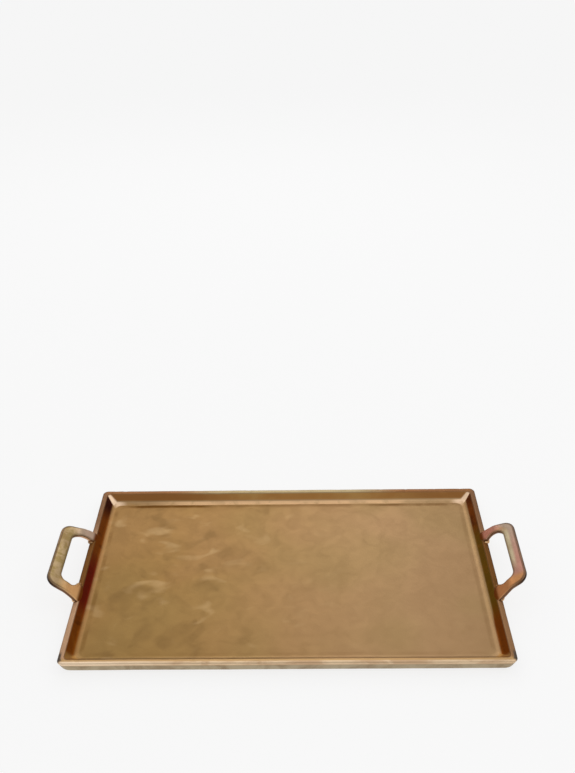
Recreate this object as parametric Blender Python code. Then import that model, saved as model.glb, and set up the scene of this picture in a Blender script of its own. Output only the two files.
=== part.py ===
"""Cast brass serving tray: a shallow rectangular pan with a raised loop handle at each end.

Metres, +Z up. The origin is on the table under the middle of the pan. X runs along the
tray's length, through both handles, and Y runs across its width.

The pan is one casting. Each handle is a flat bar frame whose two legs end in tongues. The
tongues sit in pockets cut in the pan's end walls, so that the legs carry the slope of the
inner wall on above the rim, and then bend outwards. A bead of filler metal holds each leg to
the rim, and the pan rests on four pads.
"""

import math

import bmesh
import bpy

# Pan
LENGTH = 0.500
WIDTH = 0.300
RIM_HEIGHT = 0.016
PAD_THICKNESS = 0.002
TRAY_DEPTH = 0.0102
RIM_WIDTH = 0.0062
WALL_SLOPE = math.radians(50.0)
OUTER_DRAFT = 0.0023
CORNER_RADIUS = 0.006
BASE_CORNER_RADIUS = 0.012
BASE_RADIUS = 0.004
COVE_RADIUS = 0.010
MITRE_RADIUS = 0.0015
CORNER_STEPS = 6
RIM_EDGE_RADIUS = 0.0014

# Handles, measured in the flat bar before it is bent
LEG_WIDTH = 0.0153
FOOT_FLARE = 0.0045
FLARE_LENGTH = 0.006
FLARE_RADIUS = 0.010
GRIP_WIDTH = 0.0155
TONGUE_DEPTH = 0.005
HALF_SPAN_AT_RIM = 0.0574
HALF_SPAN_AT_TIP = 0.0495
LEG_TO_BEND = 0.0211
BEND_TO_TIP = 0.0246
HANDLE_SLOPE = math.radians(29.0)
BEND_RADIUS = 0.018
BEND_CUTS = 5
OUTER_CORNER_RADIUS = 0.015
INNER_CORNER_RADIUS = 0.0105
BAR_EDGE_RADIUS = 0.0014
BAR_EDGE_RESOLUTION = 1

# Beads and pads
BEAD_RADIUS = 0.0022
BEAD_END_INSET = 0.0024
BEAD_RESOLUTION = 3
PAD_RADIUS = 0.007
PAD_INSET = 0.032
PAD_SEGMENTS = 32

GAP = 0.0003
ARC_STEP = math.radians(15.0)
MERGE_DISTANCE = 0.00001
SHARP_ANGLE = math.radians(30.0)
FLAT_ANGLE = math.radians(0.5)

# Values that follow from the ones above
HALF_LENGTH = LENGTH / 2
HALF_WIDTH = WIDTH / 2
UNDERSIDE_Z = PAD_THICKNESS
FLOOR_Z = RIM_HEIGHT - TRAY_DEPTH
BAR_THICKNESS = RIM_WIDTH * math.sin(WALL_SLOPE)
TONGUE_LENGTH = TONGUE_DEPTH / math.sin(WALL_SLOPE)
BEND_MIDDLE = TONGUE_LENGTH + LEG_TO_BEND
BAR_LENGTH = BEND_MIDDLE + BEND_TO_TIP
RIM_OUTER_AT = TONGUE_LENGTH + RIM_WIDTH / math.cos(WALL_SLOPE)
SPAN_TAPER = (HALF_SPAN_AT_RIM - HALF_SPAN_AT_TIP) / (BAR_LENGTH - RIM_OUTER_AT)


# ---------------------------------------------------------------- scene and materials

def clear_scene():
    for obj in list(bpy.data.objects):
        bpy.data.objects.remove(obj, do_unlink=True)


def new_collection(name):
    collection = bpy.data.collections.new(name)
    bpy.context.scene.collection.children.link(collection)
    return collection


def make_material(name, color, roughness, metallic):
    material = bpy.data.materials.new(name)
    material.use_nodes = True
    shader = material.node_tree.nodes["Principled BSDF"]
    shader.inputs["Base Color"].default_value = (*color, 1.0)
    shader.inputs["Roughness"].default_value = roughness
    shader.inputs["Metallic"].default_value = metallic
    return material


def pan_material():
    return make_material("aged_cast_brass", (0.36, 0.24, 0.10), 0.42, 1.0)


def handle_material():
    return make_material("handle_brass", (0.42, 0.29, 0.14), 0.38, 1.0)


def bead_material():
    return make_material("filler_brass", (0.62, 0.46, 0.26), 0.32, 1.0)


def pad_material():
    return make_material("felt", (0.05, 0.045, 0.04), 0.95, 0.0)


# ---------------------------------------------------------------- mesh helpers

def add_object(name, mesh, collection, material=None):
    obj = bpy.data.objects.new(name, mesh)
    collection.objects.link(obj)
    if material and material.name not in mesh.materials:
        mesh.materials.append(material)
    return obj


def mesh_from_bmesh(name, bm):
    bmesh.ops.recalc_face_normals(bm, faces=bm.faces)
    mesh = bpy.data.meshes.new(name)
    bm.to_mesh(mesh)
    bm.free()
    return mesh


def smooth(mesh):
    mesh.shade_smooth()
    mesh.set_sharp_from_angle(angle=SHARP_ANGLE)


def hide_cutter(obj):
    obj.hide_render = True
    obj.display_type = "WIRE"


def cut(obj, cutter):
    modifier = obj.modifiers.new("cut_" + cutter.name, "BOOLEAN")
    modifier.operation = "DIFFERENCE"
    modifier.object = cutter


def rounded_corner(previous, corner, following, radius):
    """Points along the arc that rounds one corner of a flat outline."""
    a, b, c = (complex(*p) for p in (previous, corner, following))
    to_a = (a - b) / abs(a - b)
    to_c = (c - b) / abs(c - b)
    inside = math.acos((to_a * to_c.conjugate()).real)
    bisector = (to_a + to_c) / abs(to_a + to_c)
    centre = b + bisector * radius / math.sin(inside / 2)
    start = b + to_a * radius / math.tan(inside / 2) - centre
    end = b + to_c * radius / math.tan(inside / 2) - centre
    sweep = math.atan2((end / start).imag, (end / start).real)
    steps = max(1, round(abs(sweep) / ARC_STEP))
    turns = (sweep * i / steps for i in range(steps + 1))
    points = (centre + start * complex(math.cos(turn), math.sin(turn)) for turn in turns)
    return [(p.real, p.imag) for p in points]


def rounded_outline(corners):
    """A closed outline from (x, y, radius) corners, where a zero radius stays sharp."""
    outline = []
    for i, (x, y, radius) in enumerate(corners):
        if radius == 0.0:
            outline.append((x, y))
        else:
            following = corners[(i + 1) % len(corners)]
            outline += rounded_corner(corners[i - 1][:2], (x, y), following[:2], radius)
    return outline


# ---------------------------------------------------------------- pan

def outer_section(grow=0.0):
    """The wall's outside from underside to rim, as (inset from the rim, height, corner radius)."""
    section = rounded_outline([
        (HALF_WIDTH, RIM_HEIGHT + grow, 0.0),
        (HALF_WIDTH, UNDERSIDE_Z - grow, 0.0),
        (OUTER_DRAFT - grow, UNDERSIDE_Z - grow, BASE_RADIUS),
        (-grow, RIM_HEIGHT + grow, RIM_EDGE_RADIUS),
    ])[2:]
    widening = (BASE_CORNER_RADIUS - CORNER_RADIUS) / (RIM_HEIGHT - UNDERSIDE_Z)
    return [(inset, z, CORNER_RADIUS + widening * (RIM_HEIGHT - z)) for inset, z in section]


def inner_section():
    """The wall's inside from rim to floor, with corners that tighten towards the floor."""
    cove_inset = RIM_WIDTH + TRAY_DEPTH / math.tan(WALL_SLOPE)
    section = rounded_outline([
        (0.0, RIM_HEIGHT, 0.0),
        (RIM_WIDTH, RIM_HEIGHT, RIM_EDGE_RADIUS),
        (cove_inset, FLOOR_Z, COVE_RADIUS),
        (HALF_WIDTH, FLOOR_Z, 0.0),
    ])[1:-1]
    return [(inset, z, max(CORNER_RADIUS - inset, MITRE_RADIUS)) for inset, z in section]


def level_ring(bm, inset, z, radius):
    """One level loop round the tray, a rectangle with rounded corners."""
    centre_x = HALF_LENGTH - inset - radius
    centre_y = HALF_WIDTH - inset - radius
    verts = []
    for quarter, (sx, sy) in enumerate(((1, 1), (-1, 1), (-1, -1), (1, -1))):
        for step in range(CORNER_STEPS + 1):
            turn = math.pi / 2 * (quarter + step / CORNER_STEPS)
            x = sx * centre_x + radius * math.cos(turn)
            y = sy * centre_y + radius * math.sin(turn)
            verts.append(bm.verts.new((x, y, z)))
    return verts


def lofted_pan(name, section):
    """The section carried round the tray as a loft between level rings, closed at both ends."""
    bm = bmesh.new()
    rings = [level_ring(bm, inset, z, radius) for inset, z, radius in section]
    for lower, upper in zip(rings, rings[1:]):
        for i in range(len(lower)):
            bm.faces.new((lower[i - 1], lower[i], upper[i], upper[i - 1]))
    bm.faces.new(rings[0])
    bm.faces.new(rings[-1])
    return mesh_from_bmesh(name, bm)


def make_pan(parts, material):
    mesh = lofted_pan("tray_pan", outer_section() + inner_section())
    smooth(mesh)
    return add_object("tray_pan", mesh, parts, material)


# ---------------------------------------------------------------- handles

def half_span(u):
    """Half the handle's outside width at a distance u along the bar from the tongues' ends."""
    return HALF_SPAN_AT_RIM - SPAN_TAPER * (u - RIM_OUTER_AT)


def handle_outline(grow=0.0):
    """The flat outline of the bar: two legs joined by the grip, grown by a clearance."""
    foot = -grow
    tip = BAR_LENGTH + grow
    grip = BAR_LENGTH - GRIP_WIDTH - grow
    leg = LEG_WIDTH + grow
    flared = leg + FOOT_FLARE
    flare_end = RIM_OUTER_AT + FLARE_LENGTH
    outer_radius = OUTER_CORNER_RADIUS + grow
    inner_radius = INNER_CORNER_RADIUS - grow
    one_side = [
        (tip, half_span(tip) + grow, outer_radius),
        (foot, half_span(foot) + grow, 0.0),
        (foot, half_span(foot) - flared, 0.0),
        (RIM_OUTER_AT, half_span(RIM_OUTER_AT) - flared, FLARE_RADIUS),
        (flare_end, half_span(flare_end) - leg, FLARE_RADIUS),
        (grip, half_span(grip) - leg, inner_radius),
    ]
    other_side = [(u, -v, radius) for u, v, radius in reversed(one_side)]
    return rounded_outline(one_side + other_side)


def curve_to_bmesh(curve):
    """The curve's swept or filled surface as one welded mesh; the curve is removed."""
    carrier = bpy.data.objects.new(curve.name, curve)
    bpy.context.scene.collection.objects.link(carrier)
    depsgraph = bpy.context.evaluated_depsgraph_get()
    mesh = bpy.data.meshes.new_from_object(carrier.evaluated_get(depsgraph))
    bpy.data.objects.remove(carrier, do_unlink=True)
    bpy.data.curves.remove(curve)
    bm = bmesh.new()
    bm.from_mesh(mesh)
    bpy.data.meshes.remove(mesh)
    bmesh.ops.remove_doubles(bm, verts=bm.verts, dist=MERGE_DISTANCE)
    return bm


def add_polyline(curve, points, cyclic=False):
    spline = curve.splines.new("POLY")
    spline.points.add(len(points) - 1)
    spline.use_cyclic_u = cyclic
    for point, co in zip(spline.points, points):
        point.co = (*co, 1.0)


def flat_bar(name, outline, thickness, edge_radius):
    """A flat plate filled from its outline, with rounded edges."""
    curve = bpy.data.curves.new(name, "CURVE")
    curve.dimensions = "2D"
    curve.fill_mode = "BOTH"
    curve.extrude = thickness / 2 - edge_radius
    curve.bevel_depth = edge_radius
    curve.bevel_resolution = BAR_EDGE_RESOLUTION
    curve.offset = -edge_radius
    add_polyline(curve, [(u, v, 0.0) for u, v in outline], cyclic=True)
    bm = curve_to_bmesh(curve)
    bmesh.ops.dissolve_limit(bm, angle_limit=FLAT_ANGLE, verts=bm.verts, edges=bm.edges)
    return bm


def bend_point(u, w):
    """World X and Z of a point u along the bar and w above its middle surface."""
    bend = WALL_SLOPE - HANDLE_SLOPE
    bend_start = BEND_MIDDLE - BEND_RADIUS * math.tan(bend / 2)
    bend_length = BEND_RADIUS * bend
    turned = min(max((u - bend_start) / BEND_RADIUS, 0.0), bend)
    before = min(u, bend_start)
    after = max(u - bend_start - bend_length, 0.0)
    slope = WALL_SLOPE - turned
    chord_x = BEND_RADIUS * (math.sin(WALL_SLOPE) - math.sin(slope))
    chord_z = BEND_RADIUS * (math.cos(slope) - math.cos(WALL_SLOPE))
    lift = w - BAR_THICKNESS / 2
    rim_inner_x = HALF_LENGTH - RIM_WIDTH
    start_x = rim_inner_x - TONGUE_LENGTH * math.cos(WALL_SLOPE)
    start_z = RIM_HEIGHT - TONGUE_LENGTH * math.sin(WALL_SLOPE)
    x = start_x + before * math.cos(WALL_SLOPE) + chord_x + after * math.cos(slope)
    z = start_z + before * math.sin(WALL_SLOPE) + chord_z + after * math.sin(slope)
    return x - lift * math.sin(slope), z + lift * math.cos(slope)


def bent_bar(name, grow=0.0, edge_radius=0.0):
    """The handle's bar, cut across where it bends and then bent to its side profile."""
    bm = flat_bar(name, handle_outline(grow), BAR_THICKNESS + 2 * grow, edge_radius)
    bend_length = BEND_RADIUS * (WALL_SLOPE - HANDLE_SLOPE)
    for i in range(BEND_CUTS):
        u = BEND_MIDDLE + bend_length * (i / (BEND_CUTS - 1) - 0.5)
        geometry = bm.verts[:] + bm.edges[:] + bm.faces[:]
        bmesh.ops.bisect_plane(bm, geom=geometry, plane_co=(u, 0, 0), plane_no=(1, 0, 0),
                               dist=MERGE_DISTANCE)
    for vert in bm.verts:
        u, v, w = vert.co
        x, z = bend_point(u, w)
        vert.co = (x, v, z)
    return mesh_from_bmesh(name, bm)


def make_handles(parts, cutters, pan, material):
    bar = bent_bar("handle_bar", edge_radius=BAR_EDGE_RADIUS)
    smooth(bar)
    pocket = bent_bar("handle_pocket", grow=GAP)
    pockets = []
    for name, turn in (("right", 0.0), ("left", math.pi)):
        handle = add_object("handle_" + name, bar, parts, material)
        handle.rotation_euler.z = turn
        cutter = add_object("pocket_" + name, pocket, cutters)
        cutter.rotation_euler.z = turn
        hide_cutter(cutter)
        cut(pan, cutter)
        pockets.append(cutter)
    return pockets


# ---------------------------------------------------------------- filler beads

def bead_path(side):
    """The line of filler round one leg of the right-hand handle: side is -1 front, +1 rear."""
    seat_x = HALF_LENGTH + GAP
    end_x = HALF_LENGTH - RIM_WIDTH + BEAD_END_INSET
    z = RIM_HEIGHT + GAP
    outside = half_span(RIM_OUTER_AT) + GAP
    inside = half_span(RIM_OUTER_AT) - LEG_WIDTH - FOOT_FLARE - GAP
    return [(end_x, side * outside, z), (seat_x, side * outside, z),
            (seat_x, side * inside, z), (end_x, side * inside, z)]


def bead_tube(name, path):
    curve = bpy.data.curves.new(name, "CURVE")
    curve.dimensions = "3D"
    curve.bevel_depth = BEAD_RADIUS
    curve.bevel_resolution = BEAD_RESOLUTION
    curve.use_fill_caps = True
    add_polyline(curve, path)
    return mesh_from_bmesh(name, curve_to_bmesh(curve))


def make_beads(parts, cutters, pockets, material):
    """Two beads at each end; the left-hand pair is the right-hand pair turned round."""
    wall = add_object("wall_clearance", lofted_pan("wall_clearance", outer_section(GAP)), cutters)
    hide_cutter(wall)
    for name, side, turn, pocket in (
            ("right_front", -1, 0.0, pockets[0]),
            ("right_rear", 1, 0.0, pockets[0]),
            ("left_front", 1, math.pi, pockets[1]),
            ("left_rear", -1, math.pi, pockets[1])):
        mesh = bead_tube("bead_" + name, bead_path(side))
        bead = add_object("braze_bead_" + name, mesh, parts, material)
        bead.rotation_euler.z = turn
        cut(bead, pocket)
        cut(bead, wall)


# ---------------------------------------------------------------- pads

def pad_mesh():
    bm = bmesh.new()
    height = PAD_THICKNESS - GAP
    bmesh.ops.create_cone(bm, cap_ends=True, segments=PAD_SEGMENTS, radius1=PAD_RADIUS,
                          radius2=PAD_RADIUS, depth=height)
    bmesh.ops.translate(bm, verts=bm.verts, vec=(0, 0, height / 2))
    return mesh_from_bmesh("pad", bm)


def make_pads(parts, material):
    mesh = pad_mesh()
    smooth(mesh)
    for end_name, x_sign in (("left", -1), ("right", 1)):
        for row_name, y_sign in (("front", -1), ("rear", 1)):
            pad = add_object("pad_%s_%s" % (end_name, row_name), mesh, parts, material)
            pad.location = (x_sign * (HALF_LENGTH - PAD_INSET),
                            y_sign * (HALF_WIDTH - PAD_INSET), 0.0)


def build():
    clear_scene()
    parts = new_collection("brass_tray")
    cutters = new_collection("cutters")
    pan = make_pan(parts, pan_material())
    pockets = make_handles(parts, cutters, pan, handle_material())
    make_beads(parts, cutters, pockets, bead_material())
    make_pads(parts, pad_material())


build()
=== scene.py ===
"""Looks of the cast brass serving tray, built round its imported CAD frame. Metres, +Z up.

X runs along the tray through both handles, Y across it, and Z = 0 is the table. The front is the
long wall at -Y, and the left and right sides are the short walls that carry the handles. Each CAD
node gets one finer visual piece: the casting, two handle bars, four filler beads and four pads.
"""

import math

import bmesh
import bpy
from mathutils import Matrix, Vector, noise


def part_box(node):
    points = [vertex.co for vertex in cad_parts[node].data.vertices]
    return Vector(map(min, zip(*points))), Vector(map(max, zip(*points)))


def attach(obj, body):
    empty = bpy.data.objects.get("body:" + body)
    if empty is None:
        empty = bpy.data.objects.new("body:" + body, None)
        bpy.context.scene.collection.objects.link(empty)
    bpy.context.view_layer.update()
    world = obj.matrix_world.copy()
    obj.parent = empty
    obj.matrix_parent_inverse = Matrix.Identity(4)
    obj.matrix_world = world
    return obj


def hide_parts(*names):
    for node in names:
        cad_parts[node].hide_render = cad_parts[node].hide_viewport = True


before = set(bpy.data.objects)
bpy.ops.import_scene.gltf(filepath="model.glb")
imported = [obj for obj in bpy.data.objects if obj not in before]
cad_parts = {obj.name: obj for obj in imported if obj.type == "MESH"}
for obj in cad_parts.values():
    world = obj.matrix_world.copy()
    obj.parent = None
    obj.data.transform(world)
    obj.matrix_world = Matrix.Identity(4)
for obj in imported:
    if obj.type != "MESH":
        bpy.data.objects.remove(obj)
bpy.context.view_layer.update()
PAN_LOW, PAN_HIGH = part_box("tray_pan")

MM = 0.001
BODY = "root"

# Pan: the size comes from the frame, and the wall's section is the CAD's own. The CAD's rim is
# rounded, so its box stops this much short of the sharp outline that the sizes start from.
RIM_SHY = 0.25 * MM
HALF_LENGTH = PAN_HIGH.x + RIM_SHY
HALF_WIDTH = PAN_HIGH.y + RIM_SHY
RIM_HEIGHT = PAN_HIGH.z
UNDERSIDE_Z = PAN_LOW.z
TRAY_DEPTH = 10.2 * MM
FLOOR_Z = RIM_HEIGHT - TRAY_DEPTH
RIM_WIDTH = 6.2 * MM
WALL_SLOPE = math.radians(50.0)
OUTER_DRAFT = 2.3 * MM
CORNER_RADIUS = 6.0 * MM
BASE_CORNER_RADIUS = 12.0 * MM
BASE_RADIUS = 4.0 * MM
COVE_RADIUS = 10.0 * MM
COVE_START = 14.0 * MM
FLOOR_START = 19.4 * MM
SECTION_END = 28.0 * MM
RIM_EDGE_RADIUS = 1.6 * MM
MITRE_RADIUS_AT_RIM = 4.5 * MM
MITRE_RADIUS_AT_FLOOR = 8.5 * MM
PAN_SPACING = 2.5 * MM
SECTION_SPACING = 1.3 * MM
CORNER_STEPS = 9

# Casting skin: wavelength and height of its waves, and the small knocks along the rim
BROAD_WAVE = (45.0 * MM, 0.22 * MM)
FINE_WAVE = (14.0 * MM, 0.07 * MM)
NICK_LENGTH = 7.0 * MM
NICK_THRESHOLD = 0.30
NICK_DEPTH = 0.9 * MM
NICK_BELOW_RIM = 1.2 * MM
NICK_FADE = 1.0 * MM
NICK_INWARD = 0.3

# Finishes, painted highlights and painted shade on the pan: where they begin and end, in metres,
# or as shares of the wall's depth
RIM_OVER_EDGE = (0.8 * MM, 2.2 * MM)
FRONT_RIM_OVER_EDGE = (2.2 * MM, 5.4 * MM)
RIM_DOWN_WALL = (0.03, 0.10)
FRONT_RIM_DOWN_WALL = (0.15, 0.35)
FRONT_RIM_INNER_START = (2.6 * MM, 4.2 * MM)
FRONT_RIM_END = (5.0 * MM, 9.0 * MM)
LEG_SHADE_FADE = 8.0 * MM
# Painted shade on the outside near the short walls' front corners
DARK_CORNER = (4.0 * MM, 12.0 * MM)
DARK_CORNER_FADE = 7.0 * MM
LEFT_GOLD_END = (15.0 * MM, 22.0 * MM)
RIGHT_GOLD_END = (10.0 * MM, 16.0 * MM)
SKIN_BOTTOM = 0.70
SIDE_SKIN_BOTTOM = 0.86
RIGHT_SKIN_RISE = 0.11
RIGHT_SKIN_RISES_AT = (-90.0 * MM, -60.0 * MM)
SKIN_IN_COVE = 3.0 * MM
COVE_LINE_START = 0.86
SIDE_COVE_LINE_START = 0.96
COVE_LINE_FADE = 1.5 * MM
HOOK_LENGTH = (20.0 * MM, 36.0 * MM)
# Painted shade in the crease where the floor begins: its band, and where it runs darker along the
# rear
CREASE_BAND = (FLOOR_START + 0.6 * MM, FLOOR_START + 4.2 * MM)
CREASE_FADE = 1.2 * MM
LEFT_CREASE_SHADE_START = 22.0 * MM
RIGHT_CREASE_SHADE_START = 48.0 * MM
CREASE_SHADE_END = 130.0 * MM
CREASE_SHADE_FADE = 20.0 * MM

# Handles: flat bars that rise at the inner wall's slope and then bend outwards. In the flat,
# u runs up the bar from the rim's inner edge, v across the handle and w through the bar. The
# four legs differ a little.
LEG_WIDTHS = {"left_front": 15.3 * MM, "left_rear": 14.0 * MM,
              "right_front": 15.3 * MM, "right_rear": 12.5 * MM}
FOOT_SPLAYS = {"left_front": -2.5 * MM, "left_rear": 3.5 * MM,
               "right_front": 0.0 * MM, "right_rear": 0.5 * MM}
FOOT_FLARES = {"left_front": 12.0 * MM, "left_rear": 1.0 * MM,
               "right_front": 6.5 * MM, "right_rear": 4.5 * MM}
REACHES = {"left_front": 0.0 * MM, "left_rear": 0.0 * MM,
           "right_front": -2.5 * MM, "right_rear": -1.0 * MM}
SPLAY_END = 27.0 * MM
SPLAY_BELOW_RIM = 4.0 * MM
FLARE_STARTS = 5.5 * MM
FLARE_LENGTH = 10.5 * MM
GRIP_WIDTH = 15.5 * MM
HALF_SPAN_AT_RIM = 57.4 * MM
HALF_SPAN_AT_TIP = 49.5 * MM
LEG_TO_BEND = 21.1 * MM
BEND_TO_TIP = 24.6 * MM
TIP = LEG_TO_BEND + BEND_TO_TIP
HANDLE_SLOPE = math.radians(29.0)
BEND_RADIUS = 18.0 * MM
OUTER_CORNER_RADIUS = 15.0 * MM
INNER_CORNER_RADIUS = 10.5 * MM
BAR_THICKNESS = RIM_WIDTH * math.sin(WALL_SLOPE)
BAR_EDGE_RADIUS = 1.5 * MM
BAR_CROWN = 0.25 * MM
BAR_STATIONS = 90
BAR_EDGE_STEPS = 5
BAR_FACE_STEPS = 10
ROOT_DEPTH = 8.0 * MM
ROOT_SINK = 0.6 * MM
SINK_END = 1.5 * MM
BAR_RAISE = 0.05 * MM
RIM_OUTER_AT = RIM_WIDTH / math.cos(WALL_SLOPE)
ROOT_ZONE_END = 5.0 * MM
LEG_ZONE_END = (12.0 * MM, 34.0 * MM)
# Painted shade on the bars' side faces near the tips' front corners
DARK_TIP_LENGTH = (6.0 * MM, 22.0 * MM)
DARK_TIP_ACROSS = (-25.0 * MM, -42.0 * MM)

# Beads
BEAD_RADIUS = 2.0 * MM
BEAD_BEND_RADIUS = 2.5 * MM
BEAD_SPACING = 0.7 * MM
BEAD_REFINEMENT = 1.5
BEAD_SIDES = 16
BEAD_OUT = 0.2 * MM
BEAD_SUNK = 0.3 * MM
BEAD_END = 1.6 * MM
BEAD_BLUNTNESS = 10
BEAD_TIP = 0.02
BEAD_RIPPLE = 0.07
BEAD_RIPPLE_RATE = 1.1

# Pads
PAD_SIDES = 72
PAD_SOFT_EDGE = 0.5 * MM
PAD_SPACING = 0.6 * MM
PAD_FUZZ = 0.15 * MM
PAD_FUZZ_LENGTH = 0.9 * MM

ARC_STEP = math.radians(6.0)

# Camera: in front of the tray, looking down at it
CAMERA_PLACE = Vector((0.0197, -0.8447, 0.8004))
CAMERA_PITCH = math.radians(31.95)
CAMERA_YAW = math.radians(-1.04)
CAMERA_ROLL = math.radians(1.13)
CAMERA_LENS = 43.43

# Studio
STAGE_HALF_SIZE = 40.0
STAGE_GLOW = 0.80
STAGE_GREY = 0.18
BACKDROP_LEVEL = 0.93
WHITE = (1.0, 1.0, 1.0, 1.0)


# ---------------------------------------------------------------- outlines and meshes

def rounded_corner(previous, corner, following, radius):
    """Points along the arc that rounds one corner of a flat outline."""
    a, b, c = (complex(*p) for p in (previous, corner, following))
    to_a = (a - b) / abs(a - b)
    to_c = (c - b) / abs(c - b)
    inside = math.acos((to_a * to_c.conjugate()).real)
    bisector = (to_a + to_c) / abs(to_a + to_c)
    centre = b + bisector * radius / math.sin(inside / 2)
    start = b + to_a * radius / math.tan(inside / 2) - centre
    end = b + to_c * radius / math.tan(inside / 2) - centre
    sweep = math.atan2((end / start).imag, (end / start).real)
    steps = max(2, round(abs(sweep) / ARC_STEP))
    turns = (sweep * i / steps for i in range(steps + 1))
    points = (centre + start * complex(math.cos(turn), math.sin(turn)) for turn in turns)
    return [(p.real, p.imag) for p in points]


def rounded_path(corners):
    """An open path through (x, y, radius) corners; the two ends stay where they are."""
    path = [corners[0][:2]]
    for before, (x, y, radius), after in zip(corners, corners[1:], corners[2:]):
        path += rounded_corner(before[:2], (x, y), after[:2], radius)
    return path + [corners[-1][:2]]


def densified(path, spacing):
    """The path with its long straight stretches divided."""
    points = [path[0]]
    for (x0, y0), (x1, y1) in zip(path, path[1:]):
        count = max(1, math.ceil(math.hypot(x1 - x0, y1 - y0) / spacing))
        for i in range(1, count + 1):
            share = i / count
            points.append((x0 + (x1 - x0) * share, y0 + (y1 - y0) * share))
    return points


def resampled(path, count):
    """The path as count equal steps along its length."""
    lengths = [0.0]
    for (x0, y0), (x1, y1) in zip(path, path[1:]):
        lengths.append(lengths[-1] + math.hypot(x1 - x0, y1 - y0))
    points = []
    at = 0
    for i in range(count + 1):
        wanted = lengths[-1] * i / count
        while at < len(path) - 2 and lengths[at + 1] < wanted:
            at += 1
        share = (wanted - lengths[at]) / (lengths[at + 1] - lengths[at])
        (x0, y0), (x1, y1) = path[at], path[at + 1]
        points.append((x0 + (x1 - x0) * share, y0 + (y1 - y0) * share))
    return points


def edge_normals(points, sign):
    """Unit normals of a flat path, on the side that sign chooses."""
    normals = []
    for i in range(len(points)):
        x0, y0 = points[max(i - 1, 0)]
        x1, y1 = points[min(i + 1, len(points) - 1)]
        length = math.hypot(x1 - x0, y1 - y0)
        normals.append((-(y1 - y0) / length * sign, (x1 - x0) / length * sign))
    return normals


def smoothstep(low, high, value):
    """0 at low and beyond it, 1 at high and beyond it; low may be the larger."""
    share = min(max((value - low) / (high - low), 0.0), 1.0)
    return share * share * (3.0 - 2.0 * share)


def window(low, high, blur, value):
    """1 between low and high, fading to 0 over blur outside them."""
    return smoothstep(low - blur, low, value) * (1.0 - smoothstep(high, high + blur, value))


def blended(first, second, share):
    """The value that lies this share of the way from first to second."""
    return first + (second - first) * share


def blended_range(first, second, share):
    """The same for a pair of values."""
    return blended(first[0], second[0], share), blended(first[1], second[1], share)


def lofted_faces(sides, rings):
    """Quads between each ring of points and the next one."""
    faces = []
    for ring in range(rings - 1):
        for side in range(sides):
            a = ring * sides + side
            b = ring * sides + (side + 1) % sides
            faces.append((a, b, b + sides, a + sides))
    return faces


def capped_faces(sides, rings):
    """The same, with the first and last rings closed."""
    last = (rings - 1) * sides
    return [tuple(range(sides)), tuple(range(last, last + sides))] + lofted_faces(sides, rings)


def add_piece(name, points, faces, nodes, material, attributes=None):
    """One visual piece from its points and faces, riding on the tray in place of CAD nodes."""
    mesh = bpy.data.meshes.new(name)
    mesh.from_pydata(points, [], faces)
    for key, values in (attributes or {}).items():
        layer = mesh.attributes.new(key, "FLOAT", "POINT")
        layer.data.foreach_set("value", values)
    bm = bmesh.new()
    bm.from_mesh(mesh)
    bmesh.ops.recalc_face_normals(bm, faces=bm.faces)
    bm.to_mesh(mesh)
    bm.free()
    mesh.shade_smooth()
    mesh.materials.append(material)
    obj = bpy.data.objects.new(name, mesh)
    bpy.context.scene.collection.objects.link(obj)
    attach(obj, BODY)
    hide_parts(*nodes)
    return obj


# ---------------------------------------------------------------- shader nodes

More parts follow.
